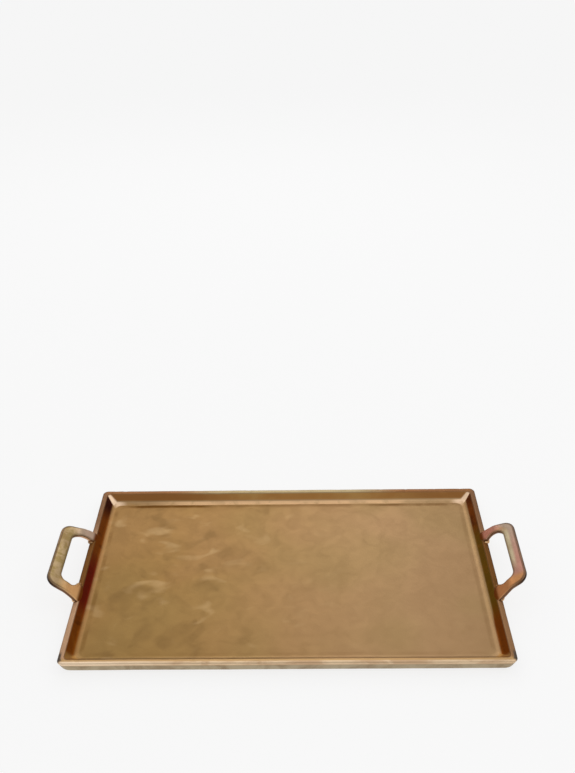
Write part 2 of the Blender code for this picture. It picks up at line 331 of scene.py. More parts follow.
class Shader:
    """A short way to write a node tree: each call adds nodes and returns an output."""

    def __init__(self, owner):
        self.owner = owner
        self.owner.use_nodes = True
        self.tree = self.owner.node_tree
        self.tree.nodes.clear()

    def put(self, socket, value):
        """Link an output to the socket, or set the socket's own value; None leaves it as is."""
        if isinstance(value, bpy.types.NodeSocket):
            self.tree.links.new(value, socket)
        elif value is not None:
            socket.default_value = value

    def node(self, kind, **settings):
        made = self.tree.nodes.new(kind)
        for key, value in settings.items():
            setattr(made, key, value)
        return made

    def place(self, scale=(1.0, 1.0, 1.0)):
        mapping = self.node("ShaderNodeMapping")
        self.put(mapping.inputs["Vector"], self.node("ShaderNodeTexCoord").outputs["Object"])
        mapping.inputs["Scale"].default_value = scale
        return mapping.outputs["Vector"]

    def along_and_across(self):
        """The place's X, along the tray, and its Y, across the tray."""
        split = self.node("ShaderNodeSeparateXYZ")
        self.put(split.inputs["Vector"], self.place())
        return split.outputs["X"], split.outputs["Y"]

    def attribute(self, name):
        return self.node("ShaderNodeAttribute", attribute_name=name).outputs["Fac"]

    def noise(self, size, detail=4.0, rough=0.55, warp=0.0, stretch=(1.0, 1.0, 1.0)):
        """Noise with features about size metres across."""
        made = self.node("ShaderNodeTexNoise")
        self.put(made.inputs["Vector"], self.place(stretch))
        made.inputs["Scale"].default_value = 1.0 / size
        made.inputs["Detail"].default_value = detail
        made.inputs["Roughness"].default_value = rough
        made.inputs["Distortion"].default_value = warp
        return made.outputs["Fac"]

    def math(self, operation, a, b=None):
        made = self.node("ShaderNodeMath", operation=operation)
        self.put(made.inputs[0], a)
        self.put(made.inputs[1], b)
        return made.outputs["Value"]

    def times(self, first, *others):
        """The product of the values."""
        for other in others:
            first = self.math("MULTIPLY", first, other)
        return first

    def ramp(self, value, low, high, to_low=0.0, to_high=1.0):
        """The value spread from low..high to to_low..to_high with soft ends."""
        made = self.node("ShaderNodeMapRange", interpolation_type="SMOOTHSTEP")
        self.put(made.inputs["Value"], value)
        made.inputs["From Min"].default_value = low
        made.inputs["From Max"].default_value = high
        made.inputs["To Min"].default_value = to_low
        made.inputs["To Max"].default_value = to_high
        return made.outputs["Result"]

    def mix(self, share, first, second):
        made = self.node("ShaderNodeMix", data_type="RGBA")
        self.put(made.inputs["Factor"], share)
        for key, colour in (("A", first), ("B", second)):
            socket = next(s for s in made.inputs if s.name == key and s.type == "RGBA")
            self.put(socket, (*colour, 1.0) if isinstance(colour, tuple) else colour)
        return next(s for s in made.outputs if s.type == "RGBA")

    def layered(self, colour, *layers):
        """The colour with each (share, colour) layer mixed over it in turn."""
        for share, layer in layers:
            colour = self.mix(share, colour, layer)
        return colour

    def bump(self, layers):
        """Stacked bumps from (height, distance in metres) layers."""
        normal = None
        for height, distance in layers:
            made = self.node("ShaderNodeBump")
            made.inputs["Distance"].default_value = distance
            self.put(made.inputs["Height"], height)
            self.put(made.inputs["Normal"], normal)
            normal = made.outputs["Normal"]
        return normal

    def principled(self, colour, roughness, metallic, normal, **more):
        made = self.node("ShaderNodeBsdfPrincipled")
        self.put(made.inputs["Base Color"], colour)
        self.put(made.inputs["Roughness"], roughness)
        self.put(made.inputs["Metallic"], metallic)
        self.put(made.inputs["Normal"], normal)
        for key, value in more.items():
            self.put(made.inputs[key.replace("_", " ")], value)
        out = self.node("ShaderNodeOutputMaterial")
        self.put(out.inputs["Surface"], made.outputs["BSDF"])
        return self.owner


# ---------------------------------------------------------------- colours

def tone(red, green, blue):
    """The linear colour of the given display values, which run from 0 to 255."""
    def linear(value):
        share = value / 255
        return share / 12.92 if share <= 0.04045 else ((share + 0.055) / 1.055) ** 2.4
    return linear(red), linear(green), linear(blue)


FLOOR_GOLD = tone(155, 119, 69)
FLOOR_TAN = tone(172, 138, 98)
FLOOR_OLIVE = tone(146, 122, 74)
FLOOR_ROSE = tone(160, 122, 86)
FLOOR_DEEP = tone(126, 96, 56)
FLOOR_PALE = tone(190, 158, 112)
# Painted shade for the crease where the floor begins
CREASE_SHADE = tone(104, 64, 14)
# Wall tones: partly the skin's own colour, partly painted reflection (the red and olive patches);
# the dark tone is also painted shade in the rear corners
SIDE_WALL_RED = tone(116, 28, 6)
SIDE_WALL_BROWN = tone(136, 70, 10)
SIDE_WALL_OLIVE = tone(120, 86, 10)
SIDE_WALL_RUST = tone(136, 68, 6)
SIDE_WALL_DARK = tone(62, 14, 2)
SIDE_WALL_TAN = tone(156, 92, 24)
REAR_WALL_BROWN = tone(172, 118, 48)
REAR_WALL_GOLD = tone(182, 136, 68)
REAR_WALL_DARK = tone(142, 83, 4)
# Polish with a painted highlight, for the cove line, the handles' worn edges and the beads
POLISHED_HIGHLIGHT = tone(238, 196, 148)
CORNER_SHINE = tone(255, 222, 188)
FRONT_CORNER_GOLD = tone(188, 137, 71)
# Rim tones: polish with a painted highlight on the front rim, brightest at its left end, and
# painted reflections on the other rims
FRONT_RIM_HIGHLIGHT = tone(246, 220, 188)
FRONT_RIM_CREAM = tone(228, 200, 164)
FRONT_RIM_TAN = tone(204, 170, 134)
FRONT_RIM_INNER = tone(196, 158, 108)
LEFT_RIM = tone(186, 148, 116)
RIGHT_RIM = tone(150, 112, 78)
REAR_RIM_BROWN = tone(148, 102, 64)
REAR_RIM_GOLD = tone(176, 156, 118)
SIDE_RIM_REAR = tone(130, 94, 66)
# Painted shade on the rim between each handle's legs
HANDLE_SHADE = tone(116, 76, 36)
SKIN_GREY = tone(174, 158, 130)
SKIN_BROWN = tone(154, 134, 106)
# Painted shade on the outside near the short walls' front corners
CORNER_SHADE = tone(92, 80, 70)

LEFT_BAR_OLIVE = tone(156, 132, 84)
LEFT_BAR_PALE = tone(180, 154, 116)
LEFT_FRONT_LEG = tone(255, 198, 134)
LEFT_REAR_LEG = tone(226, 196, 172)
LEFT_REAR_LEG_SIDE = tone(206, 162, 124)
RIGHT_BAR_ROSE = tone(166, 120, 104)
RIGHT_BAR_GREY = tone(150, 130, 112)
RIGHT_INSIDE_GREEN = tone(184, 168, 136)
RIGHT_INSIDE_TAN = tone(156, 126, 94)
RIGHT_CORNER_TAN = tone(176, 124, 80)
RIGHT_FRONT_LEG = tone(220, 150, 96)
RIGHT_REAR_LEG = tone(222, 150, 126)
BAR_STAIN = tone(150, 118, 80)
# Painted shade along the grip's outer edge and on the bars' side faces, darkest near the tips'
# front corners
BAR_OUTER_EDGE = tone(84, 62, 46)
BAR_INNER_EDGE = tone(100, 84, 54)
BAR_SIDE = tone(112, 80, 60)
BAR_SIDE_DARK = tone(50, 34, 28)

FILLER_TAN = tone(208, 166, 122)
FILLER_DULL = tone(164, 126, 88)
FELT_DARK = tone(40, 38, 36)
FELT_PALE = tone(84, 80, 76)


# ---------------------------------------------------------------- materials

def pan_floor(s, along):
    """Satin brass, deeper and mottled to the left, paler and even to the right."""
    wide = s.noise(120 * MM, detail=1.0, warp=0.3)
    blotch = s.noise(40 * MM, detail=2.0, warp=0.6)
    smear = s.noise(22 * MM, detail=1.5, warp=0.5, stretch=(0.6, 1.0, 1.0))
    mottled = s.ramp(along, -150 * MM, 100 * MM, 1.0, 0.15)
    return s.layered(
        s.mix(s.ramp(along, -180 * MM, 180 * MM), FLOOR_GOLD, FLOOR_TAN),
        (s.ramp(wide, 0.40, 0.70, 0.0, 0.22), FLOOR_ROSE),
        (s.ramp(wide, 0.60, 0.30, 0.0, 0.35), FLOOR_OLIVE),
        (s.times(s.ramp(blotch, 0.50, 0.72, 0.0, 0.50), mottled), FLOOR_DEEP),
        (s.times(s.ramp(smear, 0.56, 0.76, 0.0, 0.50), mottled), FLOOR_PALE),
    )


def pan_walls(s, along, across):
    """Dark skin on the walls with painted reflections over it: red in the left wall's near half
    and olive amid the right wall, with painted shade darkest in the rear corners."""
    drift = s.noise(35 * MM, warp=1.0)
    on_left = s.ramp(along, 100 * MM, -100 * MM)
    on_right = s.ramp(along, -100 * MM, 100 * MM)
    # Painted reflections: red in the left wall's near half, olive amid the right wall
    reddish = s.times(s.ramp(across, -85 * MM, -45 * MM), s.ramp(across, 45 * MM, 0.0))
    olive = s.ramp(s.math("ABSOLUTE", across), 90 * MM, 50 * MM)
    left = s.mix(reddish, SIDE_WALL_BROWN, SIDE_WALL_RED)
    right = s.mix(olive, SIDE_WALL_RUST, SIDE_WALL_OLIVE)
    # Painted shade in the rear corners
    rear_left = s.times(s.ramp(across, 90 * MM, 125 * MM), on_left)
    rear_right = s.times(s.ramp(across, 110 * MM, 135 * MM, 0.0, 0.6), on_right)
    side = s.layered(
        s.mix(on_right, left, right),
        (s.ramp(drift, 0.52, 0.70, 0.0, 0.55), SIDE_WALL_DARK),
        (s.ramp(drift, 0.46, 0.32, 0.0, 0.40), SIDE_WALL_TAN),
        (s.math("MAXIMUM", rear_left, rear_right), SIDE_WALL_DARK),
    )
    golden = s.ramp(s.noise(60 * MM, warp=0.8), 0.35, 0.65)
    to_left = s.ramp(along, -50 * MM, -150 * MM, 0.0, 0.9)
    to_right = s.ramp(along, 100 * MM, 200 * MM, 0.0, 0.7)
    rear = s.mix(golden, REAR_WALL_BROWN, REAR_WALL_GOLD)
    rear = s.mix(s.math("MAXIMUM", to_left, to_right), rear, REAR_WALL_DARK)
    return s.mix(s.attribute("side"), rear, side)


def pan_rim(s, along, across):
    """Creamy polish with a painted highlight on the front edge, brightest at its left end; duller
    painted reflections elsewhere, and painted shade between the handles' legs."""
    flecks = s.noise(18 * MM, warp=0.6, stretch=(0.5, 1.0, 1.0))
    inner_edge = s.ramp(across, *(width - HALF_WIDTH for width in FRONT_RIM_INNER_START))
    front = s.mix(s.ramp(flecks, 0.42, 0.62), FRONT_RIM_TAN, FRONT_RIM_CREAM)
    # Painted highlight at the front rim's left end
    front = s.mix(s.ramp(along, -220 * MM, -100 * MM), FRONT_RIM_HIGHLIGHT, front)
    front = s.mix(inner_edge, front, FRONT_RIM_INNER)
    # The side and rear rims' tones are painted reflections, varying by side and along each rim
    sides = s.mix(s.ramp(along, -100 * MM, 100 * MM), LEFT_RIM, RIGHT_RIM)
    sides = s.mix(s.ramp(across, 20 * MM, 100 * MM), sides, SIDE_RIM_REAR)
    # Painted shade on the rim between each handle's legs
    sides = s.mix(s.attribute("shade_between_legs"), sides, HANDLE_SHADE)
    middle = s.ramp(s.math("ABSOLUTE", along), 160 * MM, 80 * MM)
    rear = s.mix(middle, REAR_RIM_BROWN, REAR_RIM_GOLD)
    past_front = s.ramp(across, *(width - HALF_WIDTH for width in FRONT_RIM_END))
    return s.mix(past_front, front, s.mix(s.attribute("side"), rear, sides))


def pan_material():
    """Cast brass: the floor's colour, with the finish, painted reflection, highlight or shade of
    each zone of the wall laid over it.
    """
    s = Shader(bpy.data.materials.new("cast_brass_pan"))
    along, across = s.along_and_across()
    patches = s.noise(20 * MM, warp=1.0)
    grain = s.noise(1.6 * MM, detail=3.0)

    # Painted shade in the crease, patchy along it
    crease_darkening = s.times(s.attribute("crease_shade"), s.ramp(s.noise(40 * MM), 0.32, 0.56, 0.10, 0.85))
    middle = s.ramp(s.math("ABSOLUTE", along), 200 * MM, 120 * MM, 0.30, 1.0)
    # Polish with a painted highlight along the cove, weaker towards the tray's ends
    shine = s.times(s.attribute("polish_and_highlight"), s.ramp(patches, 0.30, 0.60, 0.55, 0.95), middle)
    # Painted highlight up the inner corners, gold at the side walls' front ends
    corner = s.mix(s.ramp(across, -20 * MM, 20 * MM), FRONT_CORNER_GOLD, CORNER_SHINE)
    skin = s.mix(s.ramp(patches, 0.35, 0.70), SKIN_GREY, SKIN_BROWN)
    # Over the floor: painted crease shade, the walls' skin and painted reflections, polish and
    # painted highlight on the cove and corners, the rims' painted highlight, reflections and
    # shade, the outer skin, and painted shade at its front corners
    colour = s.layered(
        pan_floor(s, along),
        (crease_darkening, CREASE_SHADE),
        (s.attribute("wall"), pan_walls(s, along, across)),
        (shine, POLISHED_HIGHLIGHT),
        (s.attribute("mitre"), corner),
        (s.attribute("rim"), pan_rim(s, along, across)),
        (s.attribute("outside"), skin),
        (s.attribute("corner"), CORNER_SHADE),
    )
    satin = s.ramp(patches, 0.3, 0.7, 0.38, 0.45)
    roughness = s.math("ADD", satin, s.times(grain, 0.06))
    worn_left = s.times(patches, s.ramp(along, -150 * MM, 50 * MM, 1.0, 0.3))
    normal = s.bump([(worn_left, 0.16 * MM), (grain, 0.04 * MM)])
    return s.principled(colour, roughness, 1.0, normal)


def handle_material():
    """Rubbed brass bars: olive on the left, rosy outside and grey-green inside on the right;
    painted shade on the side faces and the grip's outer edge.
    """
    s = Shader(bpy.data.materials.new("handle_brass"))
    along, across = s.along_and_across()
    bands = s.noise(8 * MM, detail=3.0, warp=0.5)
    broad = s.noise(30 * MM, detail=2.0, warp=0.2)
    grain = s.noise(1.4 * MM, detail=3.0)
    right = s.ramp(along, -100 * MM, 100 * MM)
    left = s.math("SUBTRACT", 1.0, right)
    rear = s.ramp(across, -20 * MM, 50 * MM)
    outward = s.attribute("outward")
    leg = s.attribute("leg")

    olive = s.mix(s.ramp(bands, 0.36, 0.62), LEFT_BAR_OLIVE, LEFT_BAR_PALE)
    rosy = s.mix(rear, RIGHT_BAR_ROSE, RIGHT_BAR_GREY)
    green = s.mix(s.ramp(across, 30 * MM, 46 * MM), RIGHT_INSIDE_GREEN, RIGHT_INSIDE_TAN)
    inside = s.times(s.ramp(outward, 0.62, 0.26), s.ramp(across, -36 * MM, -6 * MM))
    right_corner = s.times(right, s.ramp(across, -34 * MM, -44 * MM))
    left_leg = s.mix(rear, LEFT_FRONT_LEG, LEFT_REAR_LEG)
    right_leg = s.mix(rear, RIGHT_FRONT_LEG, RIGHT_REAR_LEG)
    on_grip = s.math("SUBTRACT", 1.0, s.times(leg, 0.9))
    face = s.layered(
        s.mix(right, olive, s.mix(inside, rosy, green)),
        (right_corner, RIGHT_CORNER_TAN),
        (s.ramp(broad, 0.45, 0.70, 0.0, 0.35), BAR_STAIN),
        (leg, s.mix(right, left_leg, right_leg)),
        (s.attribute("root"), SIDE_WALL_BROWN),
        # Painted shade along the grip's outer edge
        (s.times(s.ramp(outward, 0.84, 0.98, 0.0, 0.75), on_grip), BAR_OUTER_EDGE),
        (s.ramp(outward, 0.14, 0.02, 0.0, 0.45), BAR_INNER_EDGE),
    )
    # Painted shade on the side faces, darkest near the tips' front corners
    side = s.mix(s.attribute("shaded_near_corner"), BAR_SIDE, BAR_SIDE_DARK)
    # The left rear leg's side keeps a lighter tone without the painted shade
    side = s.mix(s.times(left, rear, leg), side, LEFT_REAR_LEG_SIDE)
    # Wear with a painted highlight on the rounded edges
    worn_and_highlit = s.times(s.attribute("edge"), s.ramp(broad, 0.40, 0.65, 0.0, 0.30))
    colour = s.mix(worn_and_highlit, s.mix(s.attribute("side"), face, side), POLISHED_HIGHLIGHT)
    roughness = s.ramp(broad, 0.3, 0.7, 0.32, 0.44)
    normal = s.bump([(bands, 0.2 * MM), (grain, 0.04 * MM)])
    return s.principled(colour, roughness, 1.0, normal)


def bead_material():
    """Filler: polished with a painted highlight outside the legs and round the right rear leg,
    dulled elsewhere.
    """
    s = Shader(bpy.data.materials.new("filler_brass"))
    along, across = s.along_and_across()
    blotch = s.noise(4 * MM)
    outside_legs = s.ramp(s.math("ABSOLUTE", across), 46 * MM, 52 * MM)
    rear_right = s.times(s.ramp(along, -100 * MM, 100 * MM), s.ramp(across, -20 * MM, 20 * MM))
    # Polish with a painted highlight
    bright_polish_and_highlight = s.mix(s.ramp(blotch, 0.35, 0.65), FILLER_TAN, POLISHED_HIGHLIGHT)
    colour = s.mix(s.math("MAXIMUM", outside_legs, rear_right), FILLER_DULL, bright_polish_and_highlight)
    roughness = s.ramp(blotch, 0.3, 0.7, 0.24, 0.36)
    return s.principled(colour, roughness, 1.0, s.bump([(blotch, 0.2 * MM)]))


def felt_material():
    """Dark grey felt with fine fibres."""
    s = Shader(bpy.data.materials.new("pad_felt"))
    fibres = s.noise(0.6 * MM, detail=6.0, rough=0.7, warp=2.0)
    colour = s.mix(fibres, FELT_DARK, FELT_PALE)
    return s.principled(colour, 0.95, 0.0, s.bump([(fibres, 0.3 * MM)]), Sheen_Weight=0.4)


# ---------------------------------------------------------------- finishes and painted light on the pan

# Zones: finishes, painted shade in the crease, at the outer corners and between the legs, and
# painted highlight on the cove and inner corners
ZONES = ("wall", "side", "polish_and_highlight", "mitre", "crease_shade", "rim", "outside", "corner", "shade_between_legs")


class WallPlace:
    """Where a point of the wall lies: distances in metres, and shares from 0 to 1.

    side is 1 on the short walls, and bend is 1 in the middle of a corner.
    """

    def __init__(self, point, turn, inset, on_outside, height):
        self.y = point.y
        self.inset = inset
        self.on_outside = on_outside
        self.below_rim = RIM_HEIGHT - height
        self.down = self.below_rim / TRAY_DEPTH
        self.from_front = HALF_WIDTH + point.y
        self.from_side = HALF_LENGTH - abs(point.x)
        self.side = math.cos(turn) ** 2
        self.bend = abs(math.sin(2 * turn))
        self.left = smoothstep(10.0 * MM, -10.0 * MM, point.x)
        self.right = 1.0 - self.left
        self.rear = smoothstep(0.0, 20.0 * MM, point.y)
        self.front = smoothstep(0.0, -20.0 * MM, point.y) * (1.0 - self.side)


def rim_colour(at):
    """The rim's own finish, which runs a little way over both edges, further along the front."""
    if at.on_outside:
        start, end = blended_range(RIM_OVER_EDGE, FRONT_RIM_OVER_EDGE, at.front)
        return 1.0 - smoothstep(start, end, at.below_rim)
    if at.inset >= COVE_START:
        return 0.0
    start, end = blended_range(RIM_DOWN_WALL, FRONT_RIM_DOWN_WALL, at.front)
    return 1.0 - smoothstep(start, end, at.down)


def gold_end(at):
    """The front ends of the side walls, where the dark skin and its painted reflection give way to
    gold.
    """
    full, start = blended_range(LEFT_GOLD_END, RIGHT_GOLD_END, at.right)
    return at.side * smoothstep(start, full, at.from_front)


def dark_skin_and_reflection(at, gold):
    """The wall's dark colour, partly skin and partly painted reflection, which reaches faintly
    into the cove on the side walls.
    """
    bottom = blended(SKIN_BOTTOM, SIDE_SKIN_BOTTOM, at.side)
    bottom -= RIGHT_SKIN_RISE * at.side * at.right * smoothstep(*RIGHT_SKIN_RISES_AT, at.y)
    on_wall = (1.0 - smoothstep(bottom - 0.04, bottom + 0.06, at.down)) * (1.0 - 0.5 * gold)
    in_cove = smoothstep(FLOOR_START, FLOOR_START - SKIN_IN_COVE, at.inset) * (1.0 - gold)
    return max(on_wall, in_cove * at.side * (0.10 + 0.20 * at.left))


def cove_highlight(at):
    """The bright line along the cove at the wall's foot: polish with a painted highlight."""
    start = blended(COVE_LINE_START, SIDE_COVE_LINE_START, at.side)
    line = window(start, 1.0, 0.10 - 0.03 * at.side, at.down)
    return line * (1.0 - smoothstep(FLOOR_START - COVE_LINE_FADE, FLOOR_START, at.inset))


def corner_line(at, line, gold):
    """The painted highlight up each inner corner and its hook along the rear cove, and the gold at
    the side walls' ends.
    """
    # Painted highlight up the inner corners
    mitre = window(0.10, 0.75, 0.12, at.side) * window(0.08, 0.88, 0.06, at.down)
    if at.y <= 0.0:
        mitre *= 0.8
    near, far = HOOK_LENGTH
    hook = line * at.rear * (1.0 - at.side) * smoothstep(far, near, at.from_side)
    return max(mitre, hook, 0.8 * gold * window(0.15, 0.80, 0.08, at.down))


def painted_crease_shade(at):
    """Painted shade in the crease where the floor begins, thickest along parts of the rear."""
    shade_start = blended(RIGHT_CREASE_SHADE_START, LEFT_CREASE_SHADE_START, at.left)
    darker_stretch = window(shade_start, CREASE_SHADE_END, CREASE_SHADE_FADE, at.from_side)
    along_rear = 0.25 + 0.75 * darker_stretch * (1.0 - 0.5 * at.right)
    along_long_walls = blended(0.12, along_rear, at.rear)
    along_sides = 0.4 - 0.2 * at.right
    strength = blended(along_long_walls, along_sides, at.side)
    return window(*CREASE_BAND, CREASE_FADE, at.inset) * (1.0 - at.bend) * strength


def pan_zones(at):
    """Shares of each finish, painted light and painted shade at a place on the wall."""
    leg_shade_end = HALF_SPAN_AT_RIM - LEG_SHADE_FADE
    zones = dict.fromkeys(ZONES, 0.0)
    zones["side"] = at.side
    # Painted shade on the rim between each handle's legs
    zones["shade_between_legs"] = at.side * smoothstep(HALF_SPAN_AT_RIM, leg_shade_end, abs(at.y))
    rim = rim_colour(at)
    zones["rim"] = rim
    if at.on_outside:
        # Painted shade on the outside near the short walls' front corners
        shaded_near_corner = window(*DARK_CORNER, DARK_CORNER_FADE, at.from_front)
        zones["outside"] = 1.0 - rim
        zones["corner"] = shaded_near_corner * smoothstep(0.25, 0.75, at.side)
        return zones
    gold = gold_end(at)
    line = cove_highlight(at)
    # The walls' dark skin with its painted reflection
    zones["wall"] = dark_skin_and_reflection(at, gold) * (1.0 - rim)
    # Polish with a painted highlight along the cove, faint on the side walls and the front
    zones["polish_and_highlight"] = line * (1.0 - 0.7 * at.side) * (1.0 - 0.9 * at.front)
    zones["mitre"] = corner_line(at, line, gold)
    # Painted shade in the crease
    zones["crease_shade"] = painted_crease_shade(at)
    return zones


# ---------------------------------------------------------------- pan

def pan_section():
    """The wall's section from underside to floor as (inset, height, corner radius) rings, and
    how many of them are on the outside."""
    cove_inset = RIM_WIDTH + TRAY_DEPTH / math.tan(WALL_SLOPE)
    outside = densified(rounded_path([
        (SECTION_END, UNDERSIDE_Z, 0.0),
        (OUTER_DRAFT, UNDERSIDE_Z, BASE_RADIUS),
        (0.0, RIM_HEIGHT, RIM_EDGE_RADIUS),
        (RIM_WIDTH / 2, RIM_HEIGHT, 0.0),
    ]), SECTION_SPACING)
    inside = densified(rounded_path([
        (RIM_WIDTH / 2, RIM_HEIGHT, 0.0),
        (RIM_WIDTH, RIM_HEIGHT, RIM_EDGE_RADIUS),
        (cove_inset, FLOOR_Z, COVE_RADIUS),
        (SECTION_END, FLOOR_Z, 0.0),
    ]), SECTION_SPACING)[1:]
    rings = []
    for inset, z in outside:
        below = (RIM_HEIGHT - z) / (RIM_HEIGHT - UNDERSIDE_Z)
        rings.append((inset, z, blended(CORNER_RADIUS, BASE_CORNER_RADIUS, below)))
    for inset, z in inside:
        depth = (RIM_HEIGHT - z) / TRAY_DEPTH
        mitre = blended(MITRE_RADIUS_AT_RIM, MITRE_RADIUS_AT_FLOOR, depth)
        across_rim = smoothstep(RIM_WIDTH / 2, RIM_WIDTH, inset)
        rings.append((inset, z, blended(CORNER_RADIUS, mitre, across_rim)))
    return rings, len(outside)


def level_ring(inset, z, radius, counts):
    """One level loop round the tray, as (point, turn) pairs: a rounded rectangle with evenly
    divided sides, where turn is the direction that the wall faces."""
    centre_x = HALF_LENGTH - inset - radius
    centre_y = HALF_WIDTH - inset - radius
    quarters = ((1, 1), (-1, 1), (-1, -1), (1, -1))
    ring = []
    for quarter, (sx, sy) in enumerate(quarters):
        for step in range(CORNER_STEPS + 1):
            turn = math.pi / 2 * (quarter + step / CORNER_STEPS)
            ring.append((Vector((sx * centre_x + radius * math.cos(turn),
                                 sy * centre_y + radius * math.sin(turn), z)), turn))
        following_x, following_y = quarters[(quarter + 1) % 4]
        start, turn = ring[-1]
        end = Vector((following_x * centre_x + radius * math.cos(turn),
                      following_y * centre_y + radius * math.sin(turn), z))
        count = counts[quarter % 2]
        ring += [(start.lerp(end, i / count), turn) for i in range(1, count)]
    return ring


def cast_unevenness(point):
    """How far the casting's skin stands off its true surface."""
    broad_length, broad_height = BROAD_WAVE
    fine_length, fine_height = FINE_WAVE
    broad = noise.noise(point / broad_length) * broad_height
    fine = noise.noise(point / fine_length + Vector((7.0, 3.0, 1.0))) * fine_height
    return broad + fine


def nick(point):
    """Depth of the small knocks along the rim's edges."""
    bite = noise.noise(point / NICK_LENGTH + Vector((2.0, 9.0, 4.0)))
    return max(0.0, bite - NICK_THRESHOLD) * NICK_DEPTH


def floor_grid(counts):
    """The floor's points, row by row from the front left."""
    inset, _, radius = pan_section()[0][-1]
    half_x = HALF_LENGTH - inset - radius
    half_y = HALF_WIDTH - inset - radius
    points = []
    for j in range(counts[1] + 1):
        for i in range(counts[0] + 1):
            x = half_x * (2 * i / counts[0] - 1)
            y = half_y * (2 * j / counts[1] - 1)
            point = Vector((x, y, FLOOR_Z))
            points.append(point + Vector((0.0, 0.0, cast_unevenness(point))))
    return points


def floor_faces(ring_start, grid_start, counts, total):
    """Quads between the last ring and the floor's grid and within it, and a fan at each corner."""
    nx, ny = counts

    def grid(i, j):
        return grid_start + j * (nx + 1) + i

    corners = ((nx, ny), (0, ny), (0, 0), (nx, 0))
    steps = ((-1, 0), (0, -1), (1, 0), (0, 1))
    faces = []
    at = 0
    for quarter in range(4):
        i, j = corners[quarter]
        di, dj = steps[quarter]
        count = counts[quarter % 2]
        for step in range(CORNER_STEPS):
            faces.append((ring_start + at + step, ring_start + at + step + 1, grid(i, j)))
        at += CORNER_STEPS
        for k in range(count):
            faces.append((ring_start + at + k, ring_start + (at + k + 1) % total,
                          grid(i + di * (k + 1), j + dj * (k + 1)), grid(i + di * k, j + dj * k)))
        at += count
    for j in range(ny):
        for i in range(nx):
            faces.append((grid(i, j), grid(i + 1, j), grid(i + 1, j + 1), grid(i, j + 1)))
    return faces


def make_pan():
    """The casting: level rings from the underside over the rim to the floor, and the floor."""
    rings, outside_count = pan_section()
    counts = (round(2 * HALF_LENGTH / PAN_SPACING), round(2 * HALF_WIDTH / PAN_SPACING))
    points = []
    zones = {key: [] for key in ZONES}
    for number, (inset, z, radius) in enumerate(rings):
        near_edge = window(RIM_HEIGHT - NICK_BELOW_RIM, RIM_HEIGHT, NICK_FADE, z)
        for point, turn in level_ring(inset, z, radius, counts):
            at = WallPlace(point, turn, inset, number < outside_count, z)
            bite = nick(point) * near_edge
            lift = Vector((0.0, 0.0, cast_unevenness(point) - bite))
            inward = Vector((-math.copysign(1.0, point.x), -math.copysign(1.0, point.y), 0.0))
            points.append(point + lift + inward * bite * NICK_INWARD)
            for key, value in pan_zones(at).items():
                zones[key].append(value)
    total = len(points) // len(rings)
    faces = [tuple(reversed(range(total)))] + lofted_faces(total, len(rings))
    grid_start = len(points)
    faces += floor_faces(grid_start - total, grid_start, counts, total)
    points += floor_grid(counts)
    for key in ZONES:
        zones[key] += [0.0] * (len(points) - grid_start)
    return add_piece("pan_casting", points, faces, ["tray_pan"],
                     pan_material(), zones)


# ---------------------------------------------------------------- handles

def half_span(u):
    """Half the handle's outside width at a distance u up the bar from the rim's inner edge."""
    taper = (HALF_SPAN_AT_RIM - HALF_SPAN_AT_TIP) / (TIP - RIM_OUTER_AT)
    return HALF_SPAN_AT_RIM - taper * (u - RIM_OUTER_AT)


def bend_point(u, w):
    """World X and Z of a point u along the bar and w above its middle surface."""
    bend = WALL_SLOPE - HANDLE_SLOPE
    bend_start = LEG_TO_BEND - BEND_RADIUS * math.tan(bend / 2)
    turned = min(max((u - bend_start) / BEND_RADIUS, 0.0), bend)
    before = min(u, bend_start)
    after = max(u - bend_start - BEND_RADIUS * bend, 0.0)
    slope = WALL_SLOPE - turned
    chord_x = BEND_RADIUS * (math.sin(WALL_SLOPE) - math.sin(slope))
    chord_z = BEND_RADIUS * (math.cos(slope) - math.cos(WALL_SLOPE))
    lift = w - BAR_THICKNESS / 2
    x = HALF_LENGTH - RIM_WIDTH + before * math.cos(WALL_SLOPE) + chord_x + after * math.cos(slope)
    z = RIM_HEIGHT + before * math.sin(WALL_SLOPE) + chord_z + after * math.sin(slope)
    return x - lift * math.sin(slope), z + lift * math.cos(slope)


def even_points(path, count, radius, end_u):
    """The path resampled as three matched stretches: the leg, the corner and half the grip."""
    corner_starts = next(i for i, (u, _) in enumerate(path) if u > end_u - radius * 1.01)
    corner_ends = next(i for i, (u, _) in enumerate(path) if u > end_u - 1e-6)
    leg = resampled(path[:corner_starts + 1], count // 2)
    corner = resampled(path[corner_starts:corner_ends + 1], count // 4)
    grip = resampled(path[corner_ends:], count // 4)
    return leg + corner[1:] + grip[1:]


